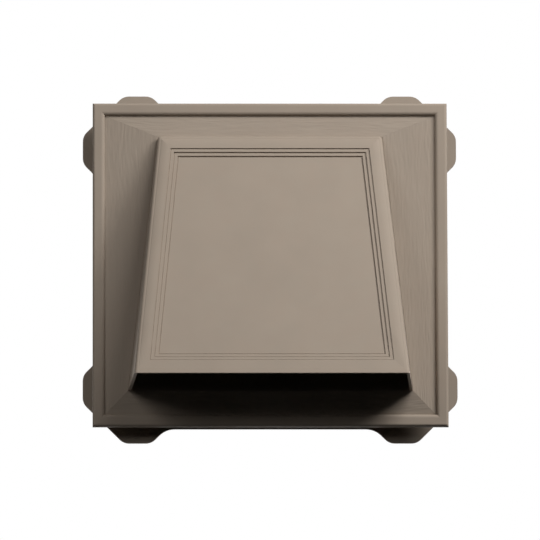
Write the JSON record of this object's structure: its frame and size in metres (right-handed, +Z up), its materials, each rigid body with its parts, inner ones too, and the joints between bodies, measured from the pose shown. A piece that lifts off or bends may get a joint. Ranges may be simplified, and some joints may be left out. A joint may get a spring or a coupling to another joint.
{
  "type": "hooded wall vent",
  "caption": "Hooded wall vent: framed clip-on cover with a wedge hood open below, mounting base with nailing ears and a duct collar, and a hanging back-draught flap.",
  "frame": {"origin": "on the duct collar's axis, in the plane of the flange's back face that lies on the wall", "axes": "+Z up, -Y ahead out of the wall, +Y along the duct into the wall, +X to the right seen from the front"},
  "size_m": [0.3288, 0.1625, 0.3104],
  "materials": {
    "base_plastic": "satin moulded plastic, clay brown",
    "cover_plastic": "satin moulded plastic, clay brown, fine embossed wood grain on the panel",
    "flap_plastic": "satin moulded plastic, clay brown"
  },
  "bodies": {
    "housing": {"mounting_base": "base_plastic", "hood_cover": "cover_plastic"},
    "flap": {"damper_flap": "flap_plastic"}
  },
  "joints": [
    {"name": "flap_hinge", "type": "hinge", "parent": "housing", "child": "flap", "pos_m": [0, -0.0077, 0.084], "axis": [-1, 0, 0], "range_deg": [0, 27]}
  ]
}
